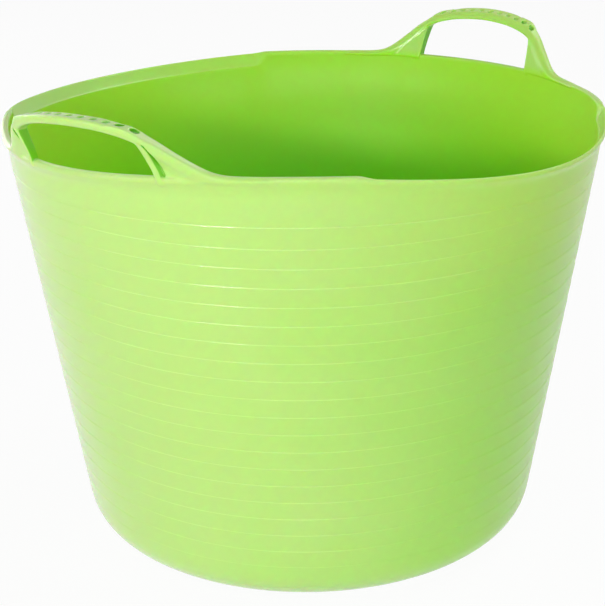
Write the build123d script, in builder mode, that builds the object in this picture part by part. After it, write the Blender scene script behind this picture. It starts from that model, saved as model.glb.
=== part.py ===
"""A flexible tub: one thin tapered moulding with two pouring lips and two loop handles.

Millimetres. Origin on the ground under the middle of the tub, Z up, the handles on +X and -X,
the pouring lips towards -Y (front) and +Y (rear).
"""
import os
from math import atan2, cos, hypot, pi, radians, sin, sqrt, tan

from build123d import *

os.makedirs("parts", exist_ok=True)

# Tub body
rim_radius = 225.0  # outer face of the rim band
rim_height = 328.0  # top of the rim band above the ground
rim_zone = 30.0  # height of the rim above the ringed wall
rim_overhang = 5.5  # the rim band stands this much outside the top of the wall
base_radius = 173.0  # outer face of the wall carried straight down to the ground
wall = 3.2  # thickness of the wall and the floor
corner_radius = 34.0  # outside radius between floor and wall
foot_width = 30.0  # flat ring of the floor that touches the ground
floor_rise = 2.5  # the middle of the floor stands this much clear of the ground

# Rings of the wall
ring_rise = 0.5  # each ring steps out by this much
ring_count = 20

# Rim band on each side of a handle
band_width = 6.5  # radial
band_depth = 6.0  # height of the thick bead at the top
band_bevel = 1.8  # bevel of the bead's top edges
band_slope = 1.5  # height of the slanted underside of the bead
neck_taper = 0.5  # share of the wall's taper that goes on between the rings and the bead
lip_angle = 50.0  # from the middle of a handle to where a pouring lip begins, degrees

# Pouring lips
lip_drop = 1.2  # the lip's edge starts this much below the band
lip_bulge = 2.0  # the middle of the lip reaches this much past the rim band
lip_dip = 4.0  # the middle of the lip's edge dips by this much
lip_edge = 2.4  # thickness at the edge
lip_spare = 8.0  # the lip is made this much too wide and trimmed, degrees
lip_curl = 0.35  # share of the flare that is done at half height

# Handles
handle_lean = 12.0  # degrees outwards from vertical
handle_depth = 10.0  # radial thickness of grip, ribs and braces
gap_height = 35.5  # finger gap above the band, in the middle
gap_sag = 8.5  # the gap is this much lower above its corners
gap_width = 110.0  # finger gap at the band
gap_taper = 9.0  # the gap is this much narrower at its top corners
gap_round = 14.0
grip_height = 7.0  # thickness of the grip above the finger gap
crown_sag = 11.0  # the crown of the grip falls by this much towards its shoulders
shoulder_outset = 8.0  # the shoulders stand this much further apart than the gap's top corners
shoulder_round = 40.0
leg_width = 34.0  # each leg at the band, from the finger gap to the slope of its brace
foot_round = 26.0  # the braces run out into the band on this radius
foot_toe = 1.0  # height at which the run-out ends
grip_bevel = 2.2  # bevel of the handle's long edges
handle_spare = 10.0  # the handle is drawn this much too deep and trimmed at the band

# Thin panel between rib and brace of each leg
rib_width = 5.0
brace_width = 6.5
panel_inset = 4.0  # the panel's outer face lies this much behind the rib
panel_foot = 2.0  # solid strip under the panel

# Flexing line across both legs of a handle
flex_rise = 14.0  # above the band
flex_cover = 0.7  # the round end of a leg stands this much past the leg's own corners
flex_gap = 0.3  # between the round end and the seat below it

# Row of dimples along the crown of each grip
dimple_count = 12
dimple_radius = 2.4
dimple_flats = 8  # flats round each dimple, to keep the solid light
dimple_depth = 1.8
dimple_margin = 4.0  # from a shoulder to the first dimple

# Derived sizes
sides = (("right", 0), ("left", 180))  # handles and the way they face, degrees
wall_top_height = rim_height - rim_zone
wall_top_radius = rim_radius - rim_overhang
flare = atan2(wall_top_radius - base_radius, wall_top_height)
corner_centre = base_radius + corner_radius * (tan(flare) - 1 / cos(flare))
wall_top_inner = wall_top_radius - wall / cos(flare)
handle_rise = gap_height + grip_height
gap_corner_rise = gap_height - gap_sag
gap_top_width = gap_width - gap_taper
shoulder_rise = handle_rise - crown_sag
shoulder_width = gap_top_width + shoulder_outset
brace_foot = gap_width + 2 * leg_width
crown_radius = ((shoulder_width / 2) ** 2 + crown_sag**2) / (2 * crown_sag)
handle_inner = rim_radius - band_width
lean = tan(radians(handle_lean))
beyond = 2 * rim_radius  # longer than anything it cuts
same_height = 0.01  # corners closer than this are level


def section_plane(angle):
    """Upright plane through the tub's axis, with its first axis pointing outwards at an angle in degrees."""
    turn = radians(angle)
    return Plane((0, 0, 0), x_dir=(cos(turn), sin(turn), 0), z_dir=(sin(turn), -cos(turn), 0))


def corner_end(radius):
    """Point of a corner arc where it runs into the wall, on the section plane."""
    return corner_centre + radius * cos(flare), corner_radius - radius * sin(flare)


def corner_middle(radius):
    """Point halfway along a corner arc, on the section plane."""
    angle = -(pi / 2 + flare) / 2
    return corner_centre + radius * cos(angle), corner_radius + radius * sin(angle)


# Floor with its rounded corner
with BuildPart() as floor:
    foot_inner = corner_centre - foot_width
    middle_edge = foot_inner - floor_rise
    inside = corner_radius - wall
    with BuildSketch(Plane.XZ):
        with BuildLine():
            Polyline((0, floor_rise), (middle_edge, floor_rise), (foot_inner, 0), (corner_centre, 0))
            ThreePointArc((corner_centre, 0), corner_middle(corner_radius), corner_end(corner_radius))
            Line(corner_end(corner_radius), corner_end(inside))
            ThreePointArc(corner_end(inside), corner_middle(inside), (corner_centre, wall))
            Polyline(
                (corner_centre, wall),
                (foot_inner, wall),
                (middle_edge, wall + floor_rise),
                (0, wall + floor_rise),
                (0, floor_rise),
            )
        make_face()
    revolve(axis=Axis.Z)
floor.part.label = "floor"
export_step(floor.part, "parts/floor.step")

# Tapered wall: each of its rings starts with a small step outwards and falls back to the plain taper
with BuildPart() as side_wall:
    low_r, low_z = corner_end(corner_radius)
    pitch_r = (wall_top_radius - low_r) / ring_count
    pitch_z = (wall_top_height - low_z) / ring_count
    steps = []
    for ring in range(ring_count):
        start_r, start_z = low_r + ring * pitch_r, low_z + ring * pitch_z
        steps.append((start_r + ring_rise * cos(flare), start_z - ring_rise * sin(flare)))
        steps.append((start_r + pitch_r, start_z + pitch_z))
    with BuildSketch(Plane.XZ):
        with BuildLine():
            Polyline(
                corner_end(corner_radius - wall),
                *steps,
                (wall_top_inner, wall_top_height),
                close=True,
            )
        make_face()
    revolve(axis=Axis.Z)
side_wall.part.label = "side_wall"
export_step(side_wall.part, "parts/side_wall.step")

# Rim bands, one under each handle
neck_height = rim_height - band_depth - band_slope
neck_radius = wall_top_radius + neck_taper * (neck_height - wall_top_height) * tan(flare)
for side, facing in sides:
    with BuildPart() as rim_band:
        with BuildSketch(section_plane(facing - lip_angle)) as section:
            with BuildLine():
                Polyline(
                    (wall_top_inner, wall_top_height),
                    (wall_top_radius, wall_top_height),
                    (neck_radius, neck_height),
                    (rim_radius, neck_height + band_slope),
                    (rim_radius, rim_height),
                    (handle_inner, rim_height),
                    (handle_inner, neck_height + band_slope),
                    close=True,
                )
            make_face()
            chamfer(section.vertices().group_by(Axis.Y)[-1], length=band_bevel)
        revolve(axis=Axis.Z, revolution_arc=2 * lip_angle)
    rim_band.part.label = f"{side}_rim_band"
    export_step(rim_band.part, f"parts/{side}_rim_band.step")

# Pouring lips: the round top of the wall flares into a flatter, wider arc between the two bands
lip_half_angle = 90 - lip_angle
lip_start = lip_angle - lip_spare
lip_sweep = 2 * (lip_half_angle + lip_spare)
lip_height = rim_height - lip_drop
lip_end_x = rim_radius * sin(radians(lip_half_angle))
lip_end_y = rim_radius * cos(radians(lip_half_angle))
lip_reach = rim_radius + lip_bulge
lip_shift = (lip_reach**2 - rim_radius**2) / (2 * (lip_reach - lip_end_y))
lip_arc = lip_reach - lip_shift
dip_radius = (lip_end_x**2 + lip_dip**2) / (2 * lip_dip)
half_height = (wall_top_height + lip_height) / 2
flat_taper = wall_top_radius + neck_taper * (half_height - wall_top_height) * tan(flare)
half_reach = flat_taper + lip_curl * (lip_reach - flat_taper) / 2
half_shift = lip_shift / 3
lip_sections = (
    (wall_top_height, 0, wall_top_radius, wall / cos(flare)),
    (half_height, half_shift, half_reach - half_shift, wall),
    (lip_height, lip_shift, lip_arc, lip_edge),
)
for side, facing in (("rear", 1), ("front", -1)):
    with BuildPart() as lip:
        for height, shift, radius, thickness in lip_sections:
            with BuildSketch(Plane((0, 0, height), x_dir=(facing, 0, 0))):
                with BuildLine():
                    outer = CenterArc((0, shift), radius, lip_start, lip_sweep)
                    inner = CenterArc((0, shift), radius - thickness, lip_start, lip_sweep)
                    Line(outer @ 0, inner @ 0)
                    Line(outer @ 1, inner @ 1)
                make_face()
        loft()
        with BuildSketch(Plane((0, 0, wall_top_height), x_dir=(facing, 0, 0))):
            with BuildLine():
                Polyline(
                    (0, 0),
                    (beyond * sin(radians(lip_half_angle)), beyond * cos(radians(lip_half_angle))),
                    (-beyond * sin(radians(lip_half_angle)), beyond * cos(radians(lip_half_angle))),
                    close=True,
                )
            make_face()
        extrude(amount=rim_height, mode=Mode.INTERSECT)
        with BuildSketch(Plane.XZ):
            with Locations((0, lip_height - lip_dip + dip_radius)):
                Circle(dip_radius)
        extrude(amount=beyond, both=True, mode=Mode.SUBTRACT)
    lip.part.label = f"{side}_lip"
    export_step(lip.part, f"parts/{side}_lip.step")

# Handles: an arch with braced legs, cut from a leaning shell that follows the rim
brace_run = (brace_foot - shoulder_width) / 2 / (shoulder_rise - foot_toe)
brace_turn = pi / 2 - atan2(brace_run, 1)
foot_end = brace_foot / 2 + foot_round * tan(brace_turn / 2) + handle_spare
gap_run = (gap_width - gap_top_width) / 2 / gap_corner_rise
shell_rise = handle_rise + foot_toe
flex_shell = handle_inner + lean * flex_rise
flex_near_y = gap_width / 2 - gap_run * flex_rise
flex_far_y = brace_foot / 2 - brace_run * (flex_rise - foot_toe)
flex_out_x = sqrt((flex_shell + handle_depth) ** 2 - flex_near_y**2)
flex_in_x = sqrt(flex_shell**2 - flex_far_y**2)
flex_x = (flex_out_x + flex_in_x) / 2  # from the tub's axis to the flexing line
flex_radius = (flex_out_x - flex_in_x) / 2 + flex_cover
flex_height = rim_height + flex_rise


def handle_plane(facing):
    """Upright plane across a handle: first axis along the rim, second axis up from the top of the band."""
    turn = radians(facing)
    return Plane((0, 0, rim_height), x_dir=(-sin(turn), cos(turn), 0), z_dir=(cos(turn), sin(turn), 0))


def leaning_shell(facing, near, far):
    """Section of the leaning shell between two depths behind its inner face, drawn from the band upwards."""
    with BuildSketch(section_plane(facing - lip_angle)) as section:
        with BuildLine():
            Polyline(
                (handle_inner + near - lean * handle_spare, rim_height - handle_spare),
                (handle_inner + far - lean * handle_spare, rim_height - handle_spare),
                (handle_inner + far + lean * shell_rise, rim_height + shell_rise),
                (handle_inner + near + lean * shell_rise, rim_height + shell_rise),
                close=True,
            )
        make_face()
    return section.sketch


def leg_panels(facing):
    """The hollows in front of the thin panels of both legs."""
    brace_inset = brace_width * hypot(1, brace_run)
    foot_x = brace_foot / 2 + brace_run * foot_toe - brace_inset
    rib_x = gap_width / 2 + rib_width
    tip = (foot_x - rib_x) / (brace_run - gap_run)
    with BuildPart() as hollows:
        with BuildSketch(handle_plane(facing)) as outline:
            with BuildLine():
                Polyline(
                    (rib_x - gap_run * panel_foot, panel_foot),
                    (foot_x - brace_run * panel_foot, panel_foot),
                    (rib_x - gap_run * tip, tip),
                    close=True,
                )
            make_face()
            mirror(about=Plane.YZ)
        extrude(amount=beyond)
        revolve(
            leaning_shell(facing, handle_depth - panel_inset, 2 * handle_depth),
            axis=Axis.Z,
            revolution_arc=2 * lip_angle,
            mode=Mode.INTERSECT,
        )
    return hollows.part


def corners_at(outline, rise):
    """Corners of a handle's outline at one height above the band."""
    return outline.vertices().filter_by(lambda v: abs(v.Y - rise) < same_height)


def handle_frame(facing):
    """The whole loop handle, as one piece."""
    shoulder = shoulder_width / 2
    corner = gap_top_width / 2
    with BuildPart() as frame:
        with BuildSketch(handle_plane(facing)) as outline:
            with BuildLine():
                ThreePointArc((-shoulder, shoulder_rise), (0, handle_rise), (shoulder, shoulder_rise))
                Polyline(
                    (shoulder, shoulder_rise),
                    (brace_foot / 2, foot_toe),
                    (foot_end, foot_toe),
                    (foot_end, -handle_spare),
                    (-foot_end, -handle_spare),
                    (-foot_end, foot_toe),
                    (-brace_foot / 2, foot_toe),
                    (-shoulder, shoulder_rise),
                )
            make_face()
            with BuildLine():
                ThreePointArc((-corner, gap_corner_rise), (0, gap_height), (corner, gap_corner_rise))
                Polyline(
                    (corner, gap_corner_rise),
                    (gap_width / 2 + gap_run * handle_spare, -handle_spare),
                    (-gap_width / 2 - gap_run * handle_spare, -handle_spare),
                    (-corner, gap_corner_rise),
                )
            make_face(mode=Mode.SUBTRACT)
            fillet(corners_at(outline, shoulder_rise), radius=shoulder_round)
            fillet(corners_at(outline, gap_corner_rise), radius=gap_round)
            fillet(corners_at(outline, foot_toe).sort_by(lambda v: abs(v.X))[:2], radius=foot_round)
        extrude(amount=beyond)
        revolve(
            leaning_shell(facing, 0, handle_depth),
            axis=Axis.Z,
            revolution_arc=2 * lip_angle,
            mode=Mode.INTERSECT,
        )
        crown_and_gap = frame.edges().sort_by(SortBy.LENGTH)[-4:]
        chamfer(crown_and_gap, length=grip_bevel)
        add(leg_panels(facing), mode=Mode.SUBTRACT)
    return frame.part


def dimple_plane(facing, index):
    """Plane on the crown of a grip, square to it, at one dimple of the row."""
    across = handle_plane(facing)
    dimple_pitch = (shoulder_width - 2 * dimple_margin) / (dimple_count - 1)
    angle = (index - (dimple_count - 1) / 2) * dimple_pitch / crown_radius
    along = crown_radius * sin(angle)
    rise = handle_rise - crown_radius * (1 - cos(angle))
    out = sqrt((handle_inner + handle_depth / 2 + lean * rise) ** 2 - along**2)
    spot = across.origin + across.x_dir * along + across.y_dir * rise + across.z_dir * out
    return Plane(spot, x_dir=across.z_dir, z_dir=across.x_dir * sin(angle) + across.y_dir * cos(angle))


for side, facing in sides:
    frame = handle_frame(facing)

    # Grip with the upper legs: rounded ends turn on the flexing line, dimples follow the crown
    with BuildPart() as grip:
        add(frame)
        with BuildSketch(section_plane(facing)):
            with Locations((flex_x, flex_height)):
                Rectangle(beyond, flex_height, align=(Align.CENTER, Align.MAX))
                Circle(flex_radius, mode=Mode.SUBTRACT)
        extrude(amount=beyond, both=True, mode=Mode.SUBTRACT)
        with BuildSketch(*[dimple_plane(facing, index) for index in range(dimple_count)]):
            RegularPolygon(dimple_radius, side_count=dimple_flats)
        extrude(amount=dimple_depth, both=True, mode=Mode.SUBTRACT)
    grip.part.label = f"{side}_grip"
    export_step(grip.part, f"parts/{side}_grip.step")

    # Lower legs, standing on the band, each with a round seat for the grip's leg above it
    for end, lower_y in (("front", -beyond), ("rear", 0)):
        with BuildPart() as leg:
            add(frame)
            with BuildSketch(section_plane(facing)):
                with Locations((flex_x, flex_height - flex_gap)):
                    Rectangle(beyond, flex_rise - flex_gap, align=(Align.CENTER, Align.MAX))
                with Locations((flex_x, flex_height)):
                    Circle(flex_radius + flex_gap, mode=Mode.SUBTRACT)
            extrude(amount=beyond, both=True, mode=Mode.INTERSECT)
            with BuildSketch(Plane((0, lower_y, 0), x_dir=(0, 0, 1), z_dir=(0, 1, 0))):
                Rectangle(4 * rim_height, 4 * rim_height)
            extrude(amount=beyond, mode=Mode.INTERSECT)
        leg.part.label = f"{side}_{end}_leg"
        export_step(leg.part, f"parts/{side}_{end}_leg.step")
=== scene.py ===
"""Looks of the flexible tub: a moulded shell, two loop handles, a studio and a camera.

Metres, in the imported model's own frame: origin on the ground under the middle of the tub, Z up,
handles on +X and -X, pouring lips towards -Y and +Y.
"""
import logging
import math
from dataclasses import astuple, dataclass
from enum import Enum
from functools import cached_property
from typing import Any, NamedTuple, Sequence

import bpy
import numpy as np
from mathutils import Matrix, Vector


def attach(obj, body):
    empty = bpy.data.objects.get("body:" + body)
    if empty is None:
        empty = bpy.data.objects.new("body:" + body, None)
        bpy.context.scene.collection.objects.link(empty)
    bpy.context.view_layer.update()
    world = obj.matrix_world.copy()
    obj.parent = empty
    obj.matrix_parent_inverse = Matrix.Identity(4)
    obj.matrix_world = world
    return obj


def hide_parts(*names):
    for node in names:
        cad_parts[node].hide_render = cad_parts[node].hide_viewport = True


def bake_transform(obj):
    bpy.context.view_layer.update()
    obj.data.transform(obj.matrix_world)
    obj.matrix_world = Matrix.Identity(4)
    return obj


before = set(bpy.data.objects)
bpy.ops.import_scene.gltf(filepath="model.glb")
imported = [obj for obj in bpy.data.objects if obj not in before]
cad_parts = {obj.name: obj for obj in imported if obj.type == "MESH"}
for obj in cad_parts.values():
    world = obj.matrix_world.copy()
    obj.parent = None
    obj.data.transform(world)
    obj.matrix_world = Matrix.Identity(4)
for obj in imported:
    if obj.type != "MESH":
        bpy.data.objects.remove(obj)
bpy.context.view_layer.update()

MM = 0.001
PHOTO_WIDTH = 605
RIM_RADIUS = 225.0 * MM
RIM_HEIGHT = 328.0 * MM
WHITE = (1.0, 1.0, 1.0, 1.0)

log = logging.getLogger("tub")

Colour = tuple[float, float, float]
Number = int | float
Values = np.ndarray | float


class Side(Enum):
    """The two handles, by the way they face along X."""

    LEFT = -1.0
    RIGHT = 1.0

    @property
    def label(self) -> str:
        """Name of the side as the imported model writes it."""
        return self.name.lower()


class Span(NamedTuple):
    """Where a smooth change starts and where it is complete."""

    start: float
    end: float


class Wire:
    """A socket's output, with Python's operators as shader maths."""

    def __init__(self, sheet: "Sheet", socket: bpy.types.NodeSocket | None) -> None:
        """Keep the node sheet and the output socket that the wire leaves from, if there is one."""
        self.sheet = sheet
        self.socket = socket

    def _math(self, operation: str, first: "Wire | Number", second: "Wire | Number") -> "Wire":
        """Add one Math node.

        Args:
            operation: The Math node's operation.
            first: Left operand.
            second: Right operand.

        Returns:
            The node's result.
        """
        return self.sheet.node("ShaderNodeMath", {"operation": operation}, {0: first, 1: second})

    def __add__(self, other: "Wire | Number") -> "Wire":
        """Sum."""
        return self._math("ADD", self, other)

    def __sub__(self, other: "Wire | Number") -> "Wire":
        """Difference."""
        return self._math("SUBTRACT", self, other)

    def __rsub__(self, other: Number) -> "Wire":
        """Difference with a number on the left."""
        return self._math("SUBTRACT", other, self)

    def __mul__(self, other: "Wire | Number") -> "Wire":
        """Product."""
        return self._math("MULTIPLY", self, other)

    __radd__ = __add__
    __rmul__ = __mul__


class Sheet:
    """A node tree to which nodes are added by type."""

    def __init__(self, tree: bpy.types.NodeTree) -> None:
        """Start from an emptied tree."""
        self.tree = tree
        tree.nodes.clear()

    def node(
        self,
        kind: str,
        settings: dict[str, Any] | None = None,
        inputs: dict[Any, Any] | None = None,
        output: str | int = 0,
    ) -> Wire:
        """Add one node.

        Args:
            kind: The node's type name.
            settings: Attributes that are set before anything is linked.
            inputs: Socket names or places, with a value or a wire for each.
            output: The output that is handed back.

        Returns:
            A wire from that output.
        """
        made = self.tree.nodes.new(kind)
        for name, value in (settings or {}).items():
            setattr(made, name, value)
        for place, value in (inputs or {}).items():
            if isinstance(value, Wire):
                self.tree.links.new(value.socket, made.inputs[place])
            else:
                made.inputs[place].default_value = value
        return Wire(self, made.outputs[output] if len(made.outputs) else None)

    def mix(self, share: Wire, first: Any, second: Any) -> Wire:
        """Mix two colours.

        Args:
            share: Share of the second colour.
            first: A colour or a wire.
            second: A colour or a wire.

        Returns:
            The mixed colour.
        """
        inputs = {0: share, 6: first, 7: second}
        return self.node("ShaderNodeMix", {"data_type": "RGBA"}, inputs, output=2)

    def ramp(self, value: Wire, span: Span) -> Wire:
        """Rise smoothly from 0 to 1 while a value crosses a span."""
        inputs = {"Value": value, "From Min": span.start, "From Max": span.end}
        return self.node("ShaderNodeMapRange", {"interpolation_type": "SMOOTHSTEP"}, inputs)

    def vector(self, operation: str, first: Any, second: Any = (0.0, 0.0, 0.0)) -> Wire:
        """Add one Vector Math node.

        Args:
            operation: The node's operation.
            first: A vector or a wire.
            second: The other vector or wire, where the operation takes two.

        Returns:
            The vector, or the number that a dot product gives.
        """
        settings, inputs = {"operation": operation}, {0: first, 1: second}
        output = "Value" if operation == "DOT_PRODUCT" else "Vector"
        return self.node("ShaderNodeVectorMath", settings, inputs, output)

    def noise(self, place: Wire, scale: float, detail: float = 1.0) -> Wire:
        """Add one noise pattern, about 0 to 1, with so many cells per metre."""
        inputs = {"Vector": place, "Scale": scale, "Detail": detail, "Roughness": 0.5}
        return self.node("ShaderNodeTexNoise", None, inputs)

    def seen(self) -> Wire:
        """Tell the rays that show the surroundings, from the camera, in gloss or through glass.

        Returns:
            1 for such rays, else 0.
        """
        rays = ("Is Camera Ray", "Is Glossy Ray", "Is Transmission Ray")
        camera, glossy, through = (self.node("ShaderNodeLightPath", output=ray) for ray in rays)
        return self.node("ShaderNodeClamp", None, {"Value": camera + glossy + through})

    def finish(self, shader: Wire, kind: str = "ShaderNodeOutputMaterial") -> None:
        """Link a shader to an output node of the given kind."""
        self.node(kind, None, {"Surface": shader})


@dataclass(frozen=True)
class Polyethylene:
    """Soft, satin, slightly translucent moulded plastic, with painted light in its colour: a pale
    outer tone that is partly waxy bloom and partly painted sheen, and painted shade lower down, in
    creases and on faces along the rim.
    """

    name: str
    colour: Colour
    # Painted shade colour, for lower down.
    deep: Colour
    # Pale outer tone, partly waxy bloom and partly painted sheen.
    bloom: Colour
    pale: Colour
    # Painted shade colour for creases and for faces along the rim.
    hollow: Colour
    roughness: float = 0.45
    cloud_roughness: float = 0.08
    scuff_roughness: float = 0.4
    specular: float = 0.3
    ior: float = 1.5
    gloss: float = 0.3
    gloss_handles: float = 0.35
    gloss_inside: float = 0.15
    gloss_roughness: float = 0.1
    gloss_heights: Span = Span(327.0 * MM, 312.0 * MM)
    glow: float = 1.0
    glow_depth: float = 1.2 * MM
    glow_colour: Colour = (0.42, 1.0, 0.10)
    cloud_scale: float = 9.0
    cloud_detail: float = 3.0
    cloud_share: float = 0.10
    patchiness: float = 0.6
    dust_heights: Span = Span(150.0 * MM, 0.0)
    dust_share: float = 0.25
    grain_scale: float = 1500.0
    grain_height: float = 0.02 * MM
    ripple_scale: float = 34.0
    ripple_height: float = 0.12 * MM
    scuff_heights: Span = Span(26.0 * MM, 0.0)
    scuff_share: float = 0.25
    streak_scale: float = 160.0
    streak_detail: float = 4.0
    # Painted shade in tight creases, from ambient occlusion.
    hollow_reach: float = 5.0 * MM
    hollow_samples: int = 8
    hollow_openness: Span = Span(0.88, 0.45)
    outside_facing: Span = Span(-0.2, 0.5)
    # Painted sheen: the side that faces the key lamp gets more of the pale tone.
    bloom_side: float = 161.0
    bloom_facing: Span = Span(-0.4, 0.8)
    bloom_least: float = 0.5
    # Heights over which the painted shade deepens downwards.
    deep_heights: Span = Span(300.0 * MM, 195.0 * MM)
    # Painted sheen on the lip's upward-facing surfaces.
    lip_bloom: float = 0.65
    lip_heights: Span = Span(300.0 * MM, 312.0 * MM)
    lip_facing: Span = Span(0.2, 0.45)
    handle_heights: Span = Span(327.0 * MM, 334.0 * MM)
    # Painted shade on faces that look along the rim.
    edge_share: float = 0.75
    edge_facing: Span = Span(0.72, 0.92)

    def material(self) -> bpy.types.Material:
        """Make the material.

        Returns:
            A new procedural material.
        """
        made = bpy.data.materials.new(self.name)
        made.use_nodes = True
        sheet = Sheet(made.node_tree)
        place = sheet.node("ShaderNodeTexCoord", output="Object")
        height = sheet.node("ShaderNodeSeparateXYZ", None, {0: place}, output="Z")
        clouds = sheet.noise(place, self.cloud_scale, self.cloud_detail)
        grain = sheet.noise(place, self.grain_scale)
        ripple = sheet.noise(place, self.ripple_scale)
        scuff = self._scuff(sheet, place, height)
        patches = clouds * self.patchiness + (1.0 - self.patchiness / 2)
        # Share of the pale outer tone: partly waxy bloom, partly painted sheen.
        bloom_and_sheen_share = self._bloomed(sheet, place, height) * patches
        # Painted shade: below the rim the colour turns deeper and darker downwards, as less light
        # gets down inside.
        shaded = sheet.ramp(height, self.deep_heights)
        tone_and_painted_light = sheet.mix(shaded, (*self.colour, 1.0), (*self.deep, 1.0))
        tone_and_painted_light = sheet.mix(bloom_and_sheen_share, tone_and_painted_light, (*self.bloom, 1.0))
        dust = sheet.ramp(height, self.dust_heights) * self.dust_share
        # Clouding and dust follow the pale tone's share, so they carry some of its painted sheen;
        # scuffs near the ground are wear.
        wear_and_sheen = bloom_and_sheen_share * (clouds * self.cloud_share + dust) + scuff
        clouded = sheet.mix(wear_and_sheen, tone_and_painted_light, (*self.pale, 1.0))
        # Painted shade: a deeper, darker green in tight creases and on faces that look along the
        # rim.
        shares = {0: self._hollow(sheet), 1: self._edge(sheet, place)}
        painted_shade_share = sheet.node("ShaderNodeMath", {"operation": "MAXIMUM"}, shares)
        rough = clouds * self.cloud_roughness + scuff * self.scuff_roughness
        below_rim = sheet.ramp(height, self.gloss_heights)
        coat = bloom_and_sheen_share * (below_rim * self.gloss + self.gloss_handles) + self.gloss_inside
        relief = grain * self.grain_height + ripple * self.ripple_height
        bump = {"Strength": 1.0, "Distance": 1.0, "Height": relief}
        shader = sheet.node(
            "ShaderNodeBsdfPrincipled",
            {"subsurface_method": "RANDOM_WALK"},
            {
                "Base Color": sheet.mix(painted_shade_share, clouded, (*self.hollow, 1.0)),
                "Roughness": rough + (self.roughness - self.cloud_roughness / 2),
                "Normal": sheet.node("ShaderNodeBump", None, bump, output="Normal"),
                "Specular IOR Level": self.specular,
                "IOR": self.ior,
                "Subsurface Weight": self.glow,
                "Subsurface Radius": self.glow_colour,
                "Subsurface Scale": self.glow_depth,
                "Coat Weight": coat,
                "Coat Roughness": self.gloss_roughness,
            },
        )
        sheet.finish(shader)
        return made

    def _bloomed(self, sheet: Sheet, place: Wire, height: Wire) -> Wire:
        """Pale tone on what faces outwards, on upward-facing lips and on the handles: partly waxy
        bloom, partly painted sheen.

        Args:
            sheet: The material's nodes.
            place: Object coordinates.
            height: Height above the ground.

        Returns:
            Share of the pale tone, waxy bloom and painted sheen together.
        """
        flat = sheet.vector("MULTIPLY", place, (1.0, 1.0, 0.0))
        away = sheet.vector("NORMALIZE", flat)
        facing = sheet.node("ShaderNodeTexCoord", output="Normal")
        outward = sheet.vector("DOT_PRODUCT", away, facing)
        outside = sheet.ramp(outward, self.outside_facing)
        upward = sheet.node("ShaderNodeSeparateXYZ", None, {0: facing}, output="Z")
        # Painted sheen: the lip's upward-facing surfaces turn paler, as if lit from above.
        flared = sheet.ramp(upward, self.lip_facing) * self.lip_bloom
        flared = flared * sheet.ramp(height, self.lip_heights)
        handled = sheet.ramp(height, self.handle_heights)
        handled = handled + flared - handled * flared
        # Painted sheen: the pale tone is strongest on the side towards the key lamp, down to a
        # least share on the far side.
        turn = math.radians(self.bloom_side)
        side = sheet.vector("DOT_PRODUCT", away, (math.cos(turn), math.sin(turn), 0.0))
        painted_side_sheen = sheet.ramp(side, self.bloom_facing) * (1.0 - self.bloom_least)
        return (outside + handled - outside * handled) * (painted_side_sheen + self.bloom_least)

    def _hollow(self, sheet: Sheet) -> Wire:
        """Share of painted shade in tight hollows, standing in for the deeper colour that light
        bouncing in the plastic gives there.

        Args:
            sheet: The material's nodes.

        Returns:
            0 on open surfaces, rising to 1 in a narrow groove.
        """
        settings = {"samples": self.hollow_samples}
        reach = {"Distance": self.hollow_reach}
        openness = sheet.node("ShaderNodeAmbientOcclusion", settings, reach, output="AO")
        return sheet.ramp(openness, self.hollow_openness)

    def _edge(self, sheet: Sheet, place: Wire) -> Wire:
        """Share of painted shade on faces that look along the rim, such as the sides of ribs,
        standing in for the deeper colour where light leaves edge on.

        Args:
            sheet: The material's nodes.
            place: Object coordinates.

        Returns:
            Share of painted shade.
        """
        across = sheet.vector("CROSS_PRODUCT", place, (0.0, 0.0, 1.0))
        round_rim = sheet.vector("NORMALIZE", across)
        facing = sheet.node("ShaderNodeTexCoord", output="Normal")
        along = sheet.vector("DOT_PRODUCT", round_rim, facing)
        either_way = sheet.node("ShaderNodeMath", {"operation": "ABSOLUTE"}, {0: along})
        return sheet.ramp(either_way, self.edge_facing) * self.edge_share

    def _scuff(self, sheet: Sheet, place: Wire, height: Wire) -> Wire:
        """Pale rubbing that fades upwards from the ground.

        Args:
            sheet: The material's nodes.
            place: Object coordinates.
            height: Height above the ground.

        Returns:
            Share of rubbed surface.
        """
        streaks = sheet.noise(place, self.streak_scale, self.streak_detail)
        return sheet.ramp(height, self.scuff_heights) * streaks * self.scuff_share


@dataclass(frozen=True)
class StudioWhite:
    """Matte floor that the camera sees as white and that keeps a shadow."""

    colour: Colour = (0.82, 0.82, 0.82)
    lift: float = 0.95

    def material(self) -> bpy.types.Material:
        """Make the material.

        Returns:
            A new material.
        """
        made = bpy.data.materials.new("studio_white")
        made.use_nodes = True
        sheet = Sheet(made.node_tree)
        matte = sheet.node("ShaderNodeBsdfDiffuse", None, {"Color": (*self.colour, 1.0)})
        white = sheet.node("ShaderNodeEmission", None, {"Color": WHITE, "Strength": 1.0})
        share = sheet.seen() * self.lift
        sheet.finish(sheet.node("ShaderNodeMixShader", None, {0: share, 1: matte, 2: white}))
        return made


def mesh_piece(name: str, points: np.ndarray, faces: Sequence[Sequence[int]]) -> bpy.types.Object:
    """Make a smooth-shaded mesh object.

    Args:
        name: Name of the piece.
        points: Corner places, one row each.
        faces: Corner numbers of each face.

    Returns:
        The new object, linked to the scene.
    """
    mesh = bpy.data.meshes.new(name)
    mesh.from_pydata(points.tolist(), [], [tuple(face) for face in faces])
    mesh.validate()
    mesh.shade_smooth()
    made = bpy.data.objects.new(name, mesh)
    bpy.context.scene.collection.objects.link(made)
    return made


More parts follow.
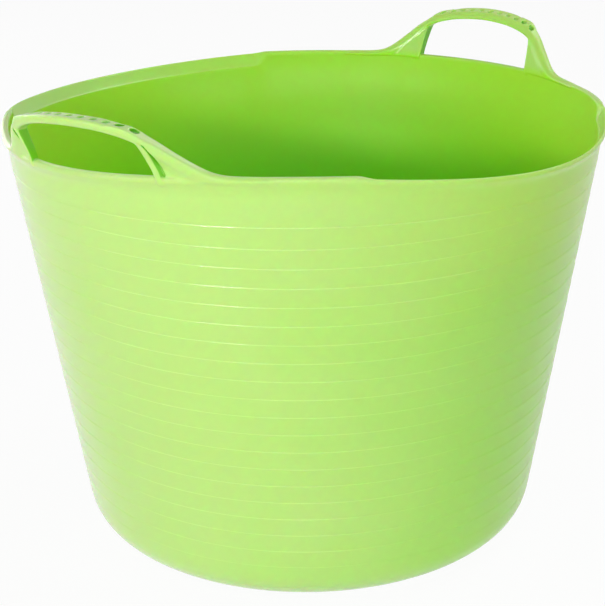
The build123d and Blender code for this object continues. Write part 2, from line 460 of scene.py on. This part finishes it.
def round_corners(points: np.ndarray, passes: int) -> np.ndarray:
    """Cut the corners of an open line again and again, so that it turns smoothly.

    Args:
        points: Control points along the first axis.
        passes: How often the corners are cut.

    Returns:
        The finer line, with the same two ends.
    """
    for _ in range(passes):
        near = 0.75 * points[:-1] + 0.25 * points[1:]
        far = 0.25 * points[:-1] + 0.75 * points[1:]
        cut = np.stack((near, far), axis=1).reshape((-1,) + points.shape[1:])
        points = np.concatenate((points[:1], cut[1:-1], points[-1:]))
    return points


def curve_through(points: np.ndarray, spans: int) -> np.ndarray:
    """Draw a smooth line through points.

    Args:
        points: Places on the line, one row each.
        spans: Steps from one place to the next.

    Returns:
        The finer line, with the same two ends.
    """
    ends = (2.0 * points[:1] - points[1:2], points, 2.0 * points[-1:] - points[-2:-1])
    spread = np.concatenate(ends)
    share = (np.arange(spans) / spans)[:, None]
    pieces = []
    for before, start, end, after in zip(spread[:-3], spread[1:-2], spread[2:-1], spread[3:]):
        square = 2.0 * before - 5.0 * start + 4.0 * end - after
        cube = 3.0 * (start - end) + after - before
        pieces.append(start + 0.5 * share * (end - before + share * (square + share * cube)))
    return np.concatenate((*pieces, points[-1:]))


def smooth_step(low: float, high: float, value: np.ndarray) -> np.ndarray:
    """Rise smoothly from 0 at one value to 1 at another."""
    share = np.clip((value - low) / (high - low), 0.0, 1.0)
    return share * share * (3.0 - 2.0 * share)


@dataclass(frozen=True)
class SoftStand:
    """How the soft tub stands out of true: its rim rises and falls, its wall stays level."""

    facing: float = 219.0
    wave: float = 5.3 * MM
    waves: float = 3.0
    true_turns: Span = Span(70.0, 110.0)
    limp_heights: Span = Span(285.0 * MM, RIM_HEIGHT)

    def lift(self, azimuths: np.ndarray, heights: np.ndarray) -> np.ndarray:
        """Rise of the wall over its true form.

        Args:
            azimuths: Angles round the tub.
            heights: Heights above the ground.

        Returns:
            How far each place stands above its true height.
        """
        turn = np.abs((np.degrees(azimuths) - self.facing + 180.0) % 360.0 - 180.0)
        wave = self.wave * np.cos(np.radians(self.waves * turn))
        limp = 1.0 - smooth_step(*self.true_turns, turn)
        return wave * limp * smooth_step(*self.limp_heights, heights)


@dataclass
class TubShell:
    """Floor, ringed wall, rim bands and pouring lips, as the single skin of the moulding."""

    rim_radius: float = RIM_RADIUS
    rim_height: float = RIM_HEIGHT
    rim_zone: float = 28.0 * MM
    base_radius: float = 173.0 * MM
    wall_top_radius: float = 219.5 * MM
    wall_top_height: float = 298.0 * MM
    wall: float = 3.2 * MM
    corner_radius: float = 34.0 * MM
    corner_rows: int = 14
    foot_width: float = 30.0 * MM
    floor_rise: float = 2.5 * MM
    floor_ring: float = 0.5
    inner_rows: int = 60
    ring_first: float = 34.6 * MM
    ring_pitch: float = 13.87 * MM
    ring_count: int = 20
    ring_step: float = 0.2 * MM
    ring_half_width: float = 0.3 * MM
    ring_rows: int = 9
    climb: Span = Span(0.2, 0.85)
    climb_rows: int = 4
    band_width: float = 5.8 * MM
    band_depth: float = 6.0 * MM
    neck_radius: float = 221.3 * MM
    neck_height: float = 316.5 * MM
    lip_angle: float = 50.0
    lip_lead: float = 1.0
    lip_turn: float = 3.5
    lip_fine: Span = Span(-3.0, 6.0)
    lip_fine_step: float = 0.25
    lip_drop: float = 1.2 * MM
    lip_reach: float = 0.3 * MM
    lip_edge: float = 3.0 * MM
    lip_dip: float = 4.0 * MM
    dip_above: float = 4.0 * MM
    dip_below: float = 8.0 * MM
    flare: float = 9.5 * MM
    rim_passes: int = 2
    columns: int = 480
    stand: SoftStand = SoftStand()

    @property
    def slope(self) -> float:
        """Widening of the wall per metre of height."""
        return (self.wall_top_radius - self.base_radius) / self.wall_top_height

    def outside(self, height: Values) -> Values:
        """Radius of the plain outer wall at a height."""
        return self.base_radius + self.slope * height

    def inside(self, height: Values) -> Values:
        """Radius of the plain inner wall at a height."""
        return self.outside(height) - self.wall * math.hypot(1.0, self.slope)

    def azimuths(self) -> np.ndarray:
        """Spread the mesh columns, closer together where a lip begins.

        Returns:
            Their angles round the tub.
        """
        even = np.arange(self.columns) * 360.0 / self.columns
        fine = np.arange(*self.lip_fine, self.lip_fine_step)
        turns = []
        for start, way in ((self.lip_angle, 1), (180 - self.lip_angle, -1)):
            turns += [start + way * fine, start + 180 + way * fine]
        return np.radians(np.unique(np.round(np.concatenate((even, *turns)), 4)))

    def _ring_line(self) -> tuple[np.ndarray, np.ndarray]:
        """Sample the wall's rings.

        Returns:
            Heights up the wall and how far the surface stands out at each.
        """
        spots = np.linspace(-1.0, 1.0, self.ring_rows)
        climb = np.linspace(*self.climb, self.climb_rows)
        heights, rises = [], []
        for ring in range(self.ring_count):
            middle = self.ring_first + ring * self.ring_pitch
            heights += list(middle - self.ring_pitch * (1.0 - climb)) if ring else []
            rises += list(self.ring_step * smooth_step(0.0, 1.0, climb)) if ring else []
            heights += list(middle + spots * self.ring_half_width)
            rises += list(self.ring_step * smooth_step(1.0, -1.0, spots))
        rises = np.array(rises)
        first = len(spots) // 2
        rises[:first] = rises[first]
        return np.array(heights), rises

    def _floor_line(self, raised: float, radius: float) -> np.ndarray:
        """One face of the floor from the middle out to the wall.

        Args:
            raised: Height of the face above the ground at the foot.
            radius: Radius of its rounded corner.

        Returns:
            Radius and height of each point.
        """
        lean = math.atan(self.slope)
        centre = self.base_radius + self.corner_radius * (math.tan(lean) - 1.0 / math.cos(lean))
        foot = centre - self.foot_width
        middle = raised + self.floor_rise
        flat = [(foot * self.floor_ring, middle), (foot - self.floor_rise, middle)]
        flat += [(foot, raised), (centre, raised)]
        turn = np.linspace(-math.pi / 2, -lean, self.corner_rows)[1:]
        arc = (centre + radius * np.cos(turn), self.corner_radius + radius * np.sin(turn))
        return np.concatenate((np.array(flat), np.stack(arc, axis=1)))

    def _band_section(self) -> np.ndarray:
        """Draw the thick bead beside a handle.

        Returns:
            Radius and height of its control points, from outside to inside.
        """
        top, under = self.rim_height, self.rim_height - self.band_depth
        outer, inner = self.rim_radius, self.rim_radius - self.band_width
        bend, neck = self.neck_radius, self.neck_height
        low = top - self.rim_zone
        return np.array(
            (
                (self.outside(low), low),
                (bend - 0.6 * MM, low + 7.0 * MM),
                (bend - 0.2 * MM, neck - 4.0 * MM),
                (bend + 0.2 * MM, neck),
                (bend + 1.2 * MM, under - 2.4 * MM),
                (outer - 0.9 * MM, under + 0.2 * MM),
                (outer + 0.1 * MM, under + 2.6 * MM),
                (outer - 0.1 * MM, top - 1.0 * MM),
                (outer - 1.6 * MM, top),
                (inner + 2.1 * MM, top),
                (inner + 0.7 * MM, top - 0.7 * MM),
                (inner + 0.3 * MM, top - 2.8 * MM),
                (inner + 0.1 * MM, under - 1.0 * MM),
                (inner - 0.5 * MM, neck - 1.5 * MM),
                (inner - 1.4 * MM, low + 8.0 * MM),
                (self.inside(low), low),
            )
        )

    def _lip_section(self) -> np.ndarray:
        """Draw the thin flared lip.

        Returns:
            Radius and height of its control points, one for each of the bead's.
        """
        top, edge = self.rim_height - self.lip_drop, self.rim_radius + self.lip_reach
        under = top - self.lip_edge
        inner = self.rim_radius - self.band_width
        bend, neck = self.neck_radius, self.neck_height
        low = self.rim_height - self.rim_zone
        return np.array(
            (
                (self.outside(low), low),
                (bend - 0.6 * MM, low + 7.0 * MM),
                (bend - 0.2 * MM, neck - 4.5 * MM),
                (bend + 0.2 * MM, neck - 0.5 * MM),
                (bend + 1.0 * MM, neck + 2.8 * MM),
                (bend + 2.4 * MM, under - 2.2 * MM),
                (edge - 0.5 * MM, under - 0.9 * MM),
                (edge, under + 0.4 * MM),
                (edge - 0.1 * MM, top - 0.9 * MM),
                (edge - 0.9 * MM, top),
                (edge - 1.8 * MM, top - 0.5 * MM),
                (edge - 3.4 * MM, top - 4.0 * MM),
                (inner + 0.1 * MM, top - self.flare),
                (inner - 0.6 * MM, top - self.flare - 0.6 * MM),
                (inner - 1.4 * MM, low + 8.0 * MM),
                (self.inside(low), low),
            )
        )

    def _rim(self, azimuths: np.ndarray) -> tuple[np.ndarray, np.ndarray]:
        """Run the bands over into the lips round the rim.

        Args:
            azimuths: Angles of the mesh columns.

        Returns:
            Radius and height, one row per point of the section and one column per angle.
        """
        from_handle = np.degrees(np.abs((azimuths + np.pi / 2) % np.pi - np.pi / 2))
        first = self.lip_angle - self.lip_lead
        share = smooth_step(first, first + self.lip_turn, from_handle)
        band, lip = self._band_section()[:, :, None], self._lip_section()[:, :, None]
        section = band * (1.0 - share) + lip * share
        half = math.sin(math.radians(90.0 - self.lip_angle))
        dip = self.lip_dip * np.clip(1.0 - (np.cos(np.radians(from_handle)) / half) ** 2, 0.0, 1.0)
        low = self.rim_height - self.rim_zone + self.dip_above
        section[:, 1] -= dip * smooth_step(low, self.rim_height - self.dip_below, section[:, 1])
        section = round_corners(section, self.rim_passes)
        return section[:, 0], section[:, 1]

    def _grid(self, azimuths: np.ndarray) -> tuple[np.ndarray, np.ndarray]:
        """Radius and height of every mesh point, from under the floor over the rim to its inside.

        Args:
            azimuths: Angles of the mesh columns.

        Returns:
            Two arrays, one row per point of the section and one column per angle.
        """
        under = self._floor_line(0.0, self.corner_radius)
        over = self._floor_line(self.wall, self.corner_radius - self.wall)[::-1]
        heights, rises = self._ring_line()
        out = np.stack((self.outside(heights) + rises, heights), axis=1)
        steps = np.linspace(heights[-1], heights[0], self.inner_rows)
        into = np.stack((self.inside(steps), steps), axis=1)
        rim_radius, rim_height = self._rim(azimuths)
        wide = np.ones((1, len(azimuths)))
        below, after = np.concatenate((under, out)), np.concatenate((into, over))
        radius = np.concatenate((below[:, :1] * wide, rim_radius, after[:, :1] * wide))
        height = np.concatenate((below[:, 1:] * wide, rim_height, after[:, 1:] * wide))
        return radius, height

    def build(self) -> bpy.types.Object:
        """Make the shell's mesh.

        Returns:
            The new piece.
        """
        azimuths = self.azimuths()
        radius, height = self._grid(azimuths)
        height = height + self.stand.lift(azimuths, height)
        rows, columns = radius.shape
        east, north = radius * np.cos(azimuths), radius * np.sin(azimuths)
        points = np.stack((east, north, height), axis=-1).reshape(-1, 3)
        middle = np.array(((0.0, 0.0, height[0, 0]), (0.0, 0.0, height[-1, 0])))
        points = np.concatenate((points, middle))
        row, column = np.meshgrid(np.arange(rows - 1), np.arange(columns), indexing="ij")
        here, there = row * columns + column, row * columns + (column + 1) % columns
        quads = np.stack((here, there, there + columns, here + columns), axis=-1).reshape(-1, 4)
        first = np.arange(columns)
        second = (first + 1) % columns
        last = (rows - 1) * columns
        under = [(rows * columns, b, a) for a, b in zip(first, second)]
        over = [(rows * columns + 1, last + a, last + b) for a, b in zip(first, second)]
        return mesh_piece("tub_shell", points, quads.tolist() + under + over)

    def dress(self, piece: bpy.types.Object, finish: bpy.types.Material) -> None:
        """Give the shell its finish and its place in the model.

        Args:
            piece: The shell.
            finish: Its material.
        """
        piece.data.materials.append(finish)
        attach(piece, "tub")
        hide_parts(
            "floor", "side_wall", "left_rim_band", "right_rim_band", "front_lip", "rear_lip"
        )


def soft_union(first: np.ndarray, second: np.ndarray, blend: float) -> np.ndarray:
    """Join two distance fields with a fillet.

    Args:
        first: Signed distances to one form.
        second: Signed distances to the other.
        blend: Width over which they run together.

    Returns:
        Signed distances to the joined form.
    """
    near = np.maximum(blend - np.abs(first - second), 0.0) / blend
    return np.minimum(first, second) - near * near * blend * 0.25


def line_distance(
    along: np.ndarray, rise: np.ndarray, line: np.ndarray
) -> tuple[np.ndarray, np.ndarray]:
    """Distance in the handle's flat outline to an open line.

    Args:
        along: First coordinate of every place.
        rise: Second coordinate of every place.
        line: Corners of the line.

    Returns:
        The distance of every place, and where on the line it is nearest, counted in corners.
    """
    best = np.full(along.shape, np.inf)
    nearest = np.zeros(along.shape)
    for index, ((x0, y0), (x1, y1)) in enumerate(zip(line[:-1], line[1:])):
        dx, dy = x1 - x0, y1 - y0
        share = np.clip(((along - x0) * dx + (rise - y0) * dy) / (dx * dx + dy * dy), 0.0, 1.0)
        here = np.hypot(along - x0 - share * dx, rise - y0 - share * dy)
        nearest = np.where(here < best, index + share, nearest)
        best = np.minimum(best, here)
    return best, nearest


def area_distance(along: np.ndarray, rise: np.ndarray, corners: np.ndarray) -> np.ndarray:
    """Signed distance in the handle's flat outline to a closed area, negative inside.

    Args:
        along: First coordinate of every place.
        rise: Second coordinate of every place.
        corners: Corners of the area, in order.

    Returns:
        The signed distance of every place.
    """
    closed = np.concatenate((corners, corners[:1]))
    inside = np.zeros(along.shape, dtype=bool)
    for (x0, y0), (x1, y1) in zip(closed[:-1], closed[1:]):
        if y0 != y1:
            crosses = (y0 > rise) != (y1 > rise)
            inside ^= crosses & (along < (x1 - x0) * (rise - y0) / (y1 - y0) + x0)
    return np.where(inside, -1.0, 1.0) * line_distance(along, rise, closed)[0]


def rounded_slab(
    outline: np.ndarray, depth: np.ndarray, near: Values, far: Values, rounding: Values
) -> np.ndarray:
    """Thicken a flat outline between two depths and round its edges.

    Args:
        outline: Signed distances in the flat outline.
        depth: Depth of every place.
        near: Depth of the inner face.
        far: Depth of the outer face.
        rounding: Radius of the edges.

    Returns:
        Signed distances to the solid.
    """
    across = outline + rounding
    through = np.abs(depth - (near + far) / 2) - (far - near) / 2 + rounding
    beyond = np.hypot(np.maximum(across, 0.0), np.maximum(through, 0.0))
    return beyond + np.minimum(np.maximum(across, through), 0.0) - rounding


def skin_of(field: np.ndarray) -> tuple[np.ndarray, np.ndarray]:
    """Mesh the zero level of a sampled distance field, one corner in each cell that it crosses.

    Args:
        field: Signed distances on a regular grid.

    Returns:
        Corner places in grid steps, and the four corners of each face.
    """
    inside = field < 0.0
    cells = tuple(size - 1 for size in field.shape)
    total = np.zeros(cells)
    crossings = np.zeros(cells)
    sums = np.zeros(cells + (3,))
    steps = [np.arange(size) for size in cells]
    base = np.stack(np.meshgrid(*steps, indexing="ij"), axis=-1).astype(float)

    def corner(values: np.ndarray, place: tuple[int, int, int]) -> np.ndarray:
        """Values at one corner of every cell."""
        x, y, z = place
        return values[x : x + cells[0], y : y + cells[1], z : z + cells[2]]

    places = [(x, y, z) for x in (0, 1) for y in (0, 1) for z in (0, 1)]
    for place in places:
        total += corner(inside, place)
    for axis in range(3):
        for place in places:
            if place[axis]:
                continue
            other = tuple(value + (index == axis) for index, value in enumerate(place))
            start, end = corner(field, place), corner(field, other)
            crossed = corner(inside, place) != corner(inside, other)
            share = np.where(crossed, start / np.where(crossed, start - end, 1.0), 0.0)
            spot = base + np.array(place)
            spot[..., axis] += share
            sums += np.where(crossed[..., None], spot, 0.0)
            crossings += crossed
    used = (total > 0) & (total < len(places))
    number = np.full(cells, -1)
    number[used] = np.arange(np.count_nonzero(used))
    points = sums[used] / crossings[used][:, None]
    faces = []
    for axis in range(3):
        low = [slice(1, -1)] * 3
        low[axis] = slice(0, -1)
        high = list(low)
        high[axis] = slice(1, None)
        before, behind = inside[tuple(low)], inside[tuple(high)]
        first, second = [index for index in range(3) if index != axis]
        ring = []
        for back_first, back_second in ((1, 1), (0, 1), (0, 0), (1, 0)):
            window = [slice(None)] * 3
            window[axis] = slice(0, cells[axis])
            window[first] = slice(1 - back_first, cells[first] - back_first)
            window[second] = slice(1 - back_second, cells[second] - back_second)
            ring.append(number[tuple(window)])
        quad = np.stack(ring, axis=-1)
        if axis == 1:
            before, behind = behind, before
        faces += [quad[before & ~behind], quad[behind & ~before][:, ::-1]]
    return points, np.concatenate(faces)


@dataclass(frozen=True)
class Station:
    """A place on the middle line of a handle's arch, and its section there, in millimetres."""

    along: float
    rise: float
    half: float
    near: float
    far: float


@dataclass(frozen=True)
class Hang:
    """How a soft handle hangs: lean and tilt in degrees, shift and stretch along the rim."""

    lean: float
    tilt: float
    shift: float
    stretch: float


@dataclass
class LoopHandle:
    """Arched grip with a row of dimples, on two braced legs that stand on the rim band and bend."""

    shell: TubShell
    inner: float = 218.5 * MM
    left_hang: Hang = Hang(lean=24.0, tilt=-3.0, shift=4.0 * MM, stretch=1.06)
    right_hang: Hang = Hang(lean=20.0, tilt=12.0, shift=-4.0 * MM, stretch=0.985)
    top: float = 40.3 * MM
    arch: tuple[Station, ...] = (
        Station(0.0, 37.1, 3.2, -3.0, 9.5),
        Station(19.6, 36.1, 3.2, -3.0, 9.5),
        Station(33.2, 34.0, 3.1, -2.6, 9.5),
        Station(48.2, 29.2, 3.0, -1.2, 9.3),
        Station(59.2, 22.4, 3.2, 0.2, 9.0),
        Station(69.0, 13.6, 3.2, 0.7, 8.4),
        Station(80.2, 4.1, 3.0, 0.9, 7.6),
        Station(89.1, -0.1, 2.3, 1.4, 6.8),
        Station(99.8, -1.7, 2.0, 1.9, 5.8),
        Station(118.0, -2.4, 2.0, 2.0, 5.0),
    )
    arch_round: float = 0.8
    arch_spans: int = 6
    gap_corner: float = 28.5 * MM
    gap_width: float = 109.5 * MM
    gap_top_width: float = 105.0 * MM
    rib_half: float = 2.1 * MM
    rib_start: tuple[float, float] = (-16.0 * MM, 6.2 * MM)
    rib_corner: float = 2.8 * MM
    rib_passes: int = 3
    rib_end: tuple[float, float] = (1.0 * MM, -5.0 * MM)
    rib_far: float = 7.2 * MM
    rib_rise: float = 1.5 * MM
    rib_sink: float = 2.2 * MM
    rib_sinking: Span = Span(1.0 * MM, 8.0 * MM)
    rib_round: float = 1.1 * MM
    leg_near: float = 0.3 * MM
    leg_buried: float = 0.5 * MM
    leg_burying: Span = Span(1.0 * MM, 5.0 * MM)
    panel_foot: float = -3.0 * MM
    panel_far: float = 4.4 * MM
    panel_rise: float = 2.8 * MM
    panel_falling: Span = Span(3.0 * MM, 13.0 * MM)
    panel_round: float = 0.6 * MM
    slot_width: float = 1.4 * MM
    slot_floor: float = 3.3 * MM
    slot_opening: Span = Span(0.88, 0.78)
    panel_blend: float = 4.0 * MM
    fillet: float = 1.6 * MM
    groove: float = 0.5 * MM
    hidden: float = 0.4 * MM
    bead_round: float = 2.4 * MM
    dimple_pairs: int = 6
    dimple_pitch: float = 9.5 * MM
    dimple_radius: float = 2.6 * MM
    dimple_lift: float = 0.5 * MM
    dimple_out: float = -0.9 * MM
    dimple_edge: float = 0.4 * MM
    lean_bend: float = 4.0 * MM
    tilting: Span = Span(0.5, 0.8)
    step: float = 0.6 * MM
    margin: float = 4.0 * MM
    flex_height: float = 342.0 * MM
    flex_x: float = 217.024 * MM
    flex_reach: float = 12.0 * MM

    @cached_property
    def arch_line(self) -> np.ndarray:
        """Middle line of the arch's far half.

        Returns:
            From the crown on: along, up, half width, inner and outer face.
        """
        half = np.array([astuple(station) for station in self.arch]) * MM
        mirrored = half[:0:-1] * np.array((-1.0, 1.0, 1.0, 1.0, 1.0))
        line = curve_through(np.concatenate((mirrored, half)), self.arch_spans)
        return line[len(line) // 2 :]

    def _rib(self) -> np.ndarray:
        """Draw the rib beside the finger gap on the handle's far half.

        Returns:
            Places on its middle line: along and up.
        """
        top, foot = self.gap_top_width / 2, self.gap_width / 2 + self.rib_half
        corners = np.array(
            (
                (top + self.rib_start[0], self.gap_corner + self.rib_start[1]),
                (top + self.rib_half, self.gap_corner + self.rib_corner),
                (foot, 0.0),
                (foot + self.rib_end[0], self.rib_end[1]),
            )
        )
        return np.concatenate((round_corners(corners[:3], self.rib_passes), corners[3:]))

    def _panel(self) -> np.ndarray:
        """Draw the thin panel between rib and brace.

        Returns:
            Its corners in order: along and up.
        """
        foot = np.array(((self.gap_width / 2 + self.rib_half, self.panel_foot),))
        start = np.searchsorted(self.arch_line[:, 0], self.gap_top_width / 2)
        return np.concatenate((self._rib()[:-1], foot, self.arch_line[: start - 1 : -1, :2]))

    def _dimples(self) -> np.ndarray:
        """Space the dimples evenly along the arch's far half.

        Returns:
            Their middles: along, up and out.
        """
        line = self.arch_line
        turn = np.gradient(line[:, :2], axis=0)
        outward = np.stack((-turn[:, 1], turn[:, 0]), axis=1) / np.hypot(*turn.T)[:, None]
        skin = line[:, :2] + outward * line[:, 2:3]
        reach = np.concatenate(((0.0,), np.cumsum(np.hypot(*np.diff(skin, axis=0).T))))
        wanted = (np.arange(self.dimple_pairs) + 0.5) * self.dimple_pitch
        depth = line[:, 3:].mean(axis=1) + self.dimple_out
        middles = np.column_stack((skin + outward * self.dimple_lift, depth))
        return np.stack([np.interp(wanted, reach, column) for column in middles.T], axis=1)

    def field(self) -> tuple[np.ndarray, np.ndarray]:
        """Sample the handle flat: along the rim, up from the band, out from its inner face.

        Returns:
            Signed distances, and the place of the grid's first corner.
        """
        line = self.arch_line
        end, foot = line[-1, 0], -self.shell.band_depth
        start = np.array((-end, foot, line[:, 3].min())) - self.margin
        stop = np.array((end, self.top, line[:, 4].max())) + self.margin
        axes = [np.arange(low, high, self.step) for low, high in zip(start, stop)]
        along, rise = np.meshgrid(axes[0], axes[1], indexing="ij")
        half = np.abs(along)
        out = axes[2][None, None, :]
        arch, spot = line_distance(half, rise, line[:, :2])
        knots = np.arange(len(line))
        thick, near, far = (np.interp(spot, knots, column)[..., None] for column in line[:, 2:].T)
        body = rounded_slab(arch[..., None] - thick, out, near, far, self.arch_round * thick)
        raised = 1.0 - smooth_step(*self.panel_falling, arch)[..., None]
        face = self.panel_far + self.panel_rise * raised
        panel = area_distance(half, rise, self._panel())[..., None]
        inside = self.leg_near + self.leg_buried * smooth_step(*self.leg_burying, -rise)[..., None]
        web = rounded_slab(panel, out, inside, face, self.panel_round)
        body = soft_union(body, web, self.panel_blend)
        lift = smooth_step(0.0, self.gap_corner, rise)[..., None]
        sunk = smooth_step(*self.rib_sinking, -rise)[..., None]
        rib = line_distance(half, rise, self._rib())[0][..., None]
        rib_face = self.rib_far + self.rib_rise * lift - self.rib_sink * sunk
        rib_back = inside - self.leg_near * lift
        edge = rounded_slab(rib - self.rib_half, out, rib_back, rib_face, self.rib_round)
        body = soft_union(body, edge, self.groove)
        opened = smooth_step(*self.slot_opening, rise / self.gap_corner)
        width = self.slot_width * opened[..., None]
        slot = np.abs(rib - self.rib_half - width / 2) - width / 2
        slot = np.maximum(np.maximum(slot, panel), self.slot_floor - out)
        body = -soft_union(-body, slot, self.groove)
        band = np.maximum(rise + self.hidden, -rise - self.shell.band_depth)[..., None]
        bead_far = self.shell.rim_radius - self.inner - self.hidden
        bead_near = bead_far - self.shell.band_width + 2.0 * self.hidden
        bead = rounded_slab(band, out, bead_near, bead_far, self.bead_round)
        body = soft_union(body, bead, self.fillet)
        for middle in self._dimples():
            flat = np.hypot(half - middle[0], rise - middle[1])[..., None]
            hole = np.hypot(flat, out - middle[2]) - self.dimple_radius
            body = -soft_union(-body, hole, self.dimple_edge)
        return body, start

    @cached_property
    def skin(self) -> tuple[np.ndarray, np.ndarray]:
        """Mesh the flat handle once for both sides.

        Returns:
            Corners of its surface in flat coordinates, and its faces.
        """
        body, start = self.field()
        points, faces = skin_of(np.pad(body, 1, constant_values=self.margin))
        return (points - 1.0) * self.step + start, faces

    def build(self, side: Side) -> bpy.types.Object:
        """Make one handle's mesh.

        Args:
            side: Which handle.

        Returns:
            The new piece.
        """
        points, faces = self.skin
        flat, rise, out = points.T
        crown = self.arch[0]
        hang = self.left_hang if side is Side.LEFT else self.right_hang
        along = flat * hang.stretch + hang.shift
        tilted = math.tan(math.radians(hang.tilt)) * (out - (crown.near + crown.far) / 2 * MM)
        height = rise + tilted * smooth_step(*self.tilting, rise / self.top)
        raised = (rise + np.hypot(rise, self.lean_bend)) / 2
        radius = self.inner + out + math.tan(math.radians(hang.lean)) * raised
        east, north = side.value * np.sqrt(radius**2 - along**2), side.value * along
        rim = self.shell.rim_height
        lift = self.shell.stand.lift(np.arctan2(north, east), rim + np.minimum(rise, 0.0))
        places = np.stack((east, north, rim + height + lift), axis=1)
        return mesh_piece(f"{side.label}_loop_handle", places, faces.tolist())

    def dress(self, piece: bpy.types.Object, side: Side, finish: bpy.types.Material) -> None:
        """Give a handle its finish, bake its place into the mesh and hide the imported legs and
        grip.

        Args:
            piece: The handle.
            side: Which handle it is.
            finish: Its material.
        """
        piece.data.materials.append(finish)
        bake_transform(piece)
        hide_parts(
            f"{side.label}_front_leg", f"{side.label}_rear_leg", f"{side.label}_grip"
        )


@dataclass(frozen=True)
class SoftLamp:
    """A studio lamp with a flat front, placed as seen from the tub."""

    name: str
    right_of_camera: float
    elevation: float
    power: float
    distance: float = 2.6
    width: float = 1.7
    height: float = 1.7


@dataclass
class PhotoCamera:
    """The camera at the photograph's viewing angle."""

    azimuth: float = 220.9
    elevation: float = 19.97
    distance: float = 5.416 * RIM_RADIUS
    target_right: float = -0.0153 * RIM_RADIUS
    target_height: float = 0.7548 * RIM_RADIUS
    roll: float = -0.90
    focal_pixels: float = 1545.9
    sensor: float = 36.0

    def spot(self, right: float, elevation: float, distance: float) -> Vector:
        """A place around the tub.

        Args:
            right: Degrees to the camera's right, as seen from the tub's axis.
            elevation: Degrees up.
            distance: From the tub's axis.

        Returns:
            The place.
        """
        turn, rise = math.radians(self.azimuth + right), math.radians(elevation)
        flat = distance * math.cos(rise)
        return Vector((flat * math.cos(turn), flat * math.sin(turn), distance * math.sin(rise)))

    def build(self) -> None:
        """Make the camera and use it."""
        away = self.spot(0.0, self.elevation, self.distance)
        turn = math.radians(self.azimuth)
        right = Vector((-math.sin(turn), math.cos(turn), 0.0))
        target = right * self.target_right + Vector((0.0, 0.0, self.target_height))
        data = bpy.data.cameras.new("photo_camera")
        data.sensor_fit = "HORIZONTAL"
        data.sensor_width = self.sensor
        data.lens = self.sensor * self.focal_pixels / PHOTO_WIDTH
        made = bpy.data.objects.new("photo_camera", data)
        aim = (-away).to_track_quat("-Z", "Y").to_matrix().to_4x4()
        roll = Matrix.Rotation(math.radians(self.roll), 4, "Z")
        made.matrix_world = Matrix.Translation(target + away) @ aim @ roll
        bpy.context.scene.collection.objects.link(made)
        bpy.context.scene.camera = made


@dataclass
class Studio:
    """White floor, white surroundings and soft lamps."""

    camera: PhotoCamera
    floor_half: float = 9.0
    floor_finish: StudioWhite = StudioWhite()
    sky: Colour = (0.02, 0.02, 0.02)
    lamps: tuple[SoftLamp, ...] = (
        SoftLamp("key", -65.0, 12.0, 17.0),
        SoftLamp("front", -2.0, 13.0, 22.0),
        SoftLamp("fill", 45.0, 12.0, 12.5),
        SoftLamp("back_left", -135.0, 15.0, 20.0),
        SoftLamp("back_high", 120.0, 55.0, 28.0),
        SoftLamp("strip", -32.0, 14.0, 12.0, distance=2.2, width=0.7, height=0.14),
    )

    def _floor(self) -> None:
        """Make the floor."""
        signs = ((-1, -1), (1, -1), (1, 1), (-1, 1))
        corners = np.array([(x * self.floor_half, y * self.floor_half, 0.0) for x, y in signs])
        made = mesh_piece("studio_floor", corners, [(0, 1, 2, 3)])
        made.data.materials.append(self.floor_finish.material())

    def _sky(self) -> None:
        """Make the surroundings."""
        world = bpy.data.worlds.new("studio_sky")
        bpy.context.scene.world = world
        world.use_nodes = True
        sheet = Sheet(world.node_tree)
        dim, white = (
            sheet.node("ShaderNodeBackground", None, {"Color": colour, "Strength": 1.0})
            for colour in ((*self.sky, 1.0), WHITE)
        )
        shader = sheet.node("ShaderNodeMixShader", None, {0: sheet.seen(), 1: dim, 2: white})
        sheet.finish(shader, "ShaderNodeOutputWorld")

    def _lamp(self, lamp: SoftLamp) -> None:
        """Make one lamp, turned to the tub.

        Args:
            lamp: Its place, size and power.
        """
        data = bpy.data.lights.new(lamp.name, "AREA")
        data.shape = "RECTANGLE"
        data.size = lamp.width
        data.size_y = lamp.height
        data.energy = lamp.power
        made = bpy.data.objects.new(lamp.name, data)
        middle = Vector((0.0, 0.0, self.camera.target_height))
        away = self.camera.spot(lamp.right_of_camera, lamp.elevation, lamp.distance)
        aim = (-away).to_track_quat("-Z", "Y").to_matrix().to_4x4()
        made.matrix_world = Matrix.Translation(middle + away) @ aim
        bpy.context.scene.collection.objects.link(made)

    def build(self) -> None:
        """Make floor, surroundings and lamps."""
        self._floor()
        self._sky()
        for lamp in self.lamps:
            self._lamp(lamp)


def main() -> None:
    """Build every piece in order."""
    logging.basicConfig(level=logging.INFO, format="%(name)s: %(message)s")
    bpy.context.scene.view_settings.view_transform = "Standard"
    camera = PhotoCamera()
    camera.build()
    Studio(camera).build()
    finish = Polyethylene(
        "lime_polyethylene",
        colour=(0.51, 0.91, 0.035),
        # Painted shade colour for lower down.
        deep=(0.33, 0.88, 0.012),
        # Pale outer tone, partly painted sheen.
        bloom=(0.55, 0.825, 0.215),
        pale=(0.62, 0.88, 0.30),
        # Painted shade colour for creases and faces along the rim.
        hollow=(0.16, 0.60, 0.01),
    ).material()
    shell = TubShell()
    piece = shell.build()
    shell.dress(piece, finish)
    log.info("%s: %d faces", piece.name, len(piece.data.polygons))
    handle = LoopHandle(shell)
    for side in Side:
        piece = handle.build(side)
        handle.dress(piece, side, finish)
        log.info("%s: %d faces", piece.name, len(piece.data.polygons))


if __name__ == "__main__":
    main()
